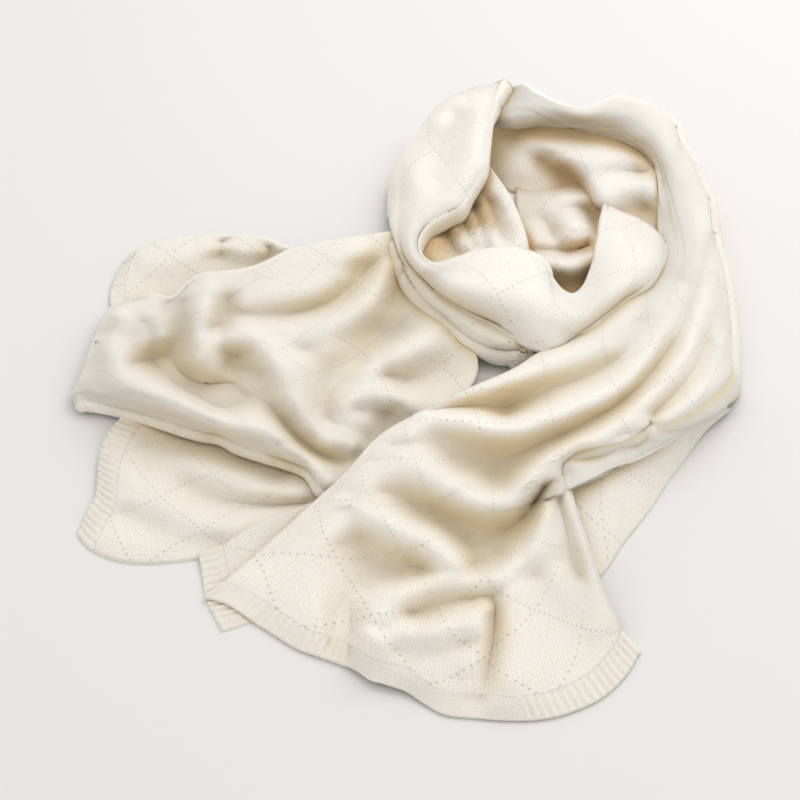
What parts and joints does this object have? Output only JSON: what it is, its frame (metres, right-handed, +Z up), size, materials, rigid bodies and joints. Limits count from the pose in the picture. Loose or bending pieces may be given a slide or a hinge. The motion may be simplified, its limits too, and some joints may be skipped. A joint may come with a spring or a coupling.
{
  "type": "knit shawl",
  "caption": "Soft knit shawl laid on a flat surface, its middle wound into a swirl and its two ribbed tails spread to the left and to the front.",
  "frame": {"origin": "on the surface that the shawl lies on, under the middle of the swirl", "axes": "+Z up, +X to the right, +Y away from the viewer; the tails run to -X and to -Y"},
  "size_m": [0.6758, 0.8036, 0.0981],
  "materials": {
    "knit": "cream fine-gauge knit with a soft halo",
    "rib": "cream two-by-two rib"
  },
  "bodies": {
    "root": {"heap_core": "knit", "tail_left_back": "knit", "tail_left_lower": "knit", "tail_left_lower_ribs": "rib", "tail_left_top": "knit", "tail_front_under": "knit", "tail_front_under_ribs": "rib", "tail_front": "knit", "tail_front_ribs": "rib", "tail_front_flank": "knit", "swirl_outer_band": "knit", "swirl_collar": "knit", "crater_back": "knit", "crater_pleats": "knit", "crater_core": "knit"}
  },
  "joints": []
}
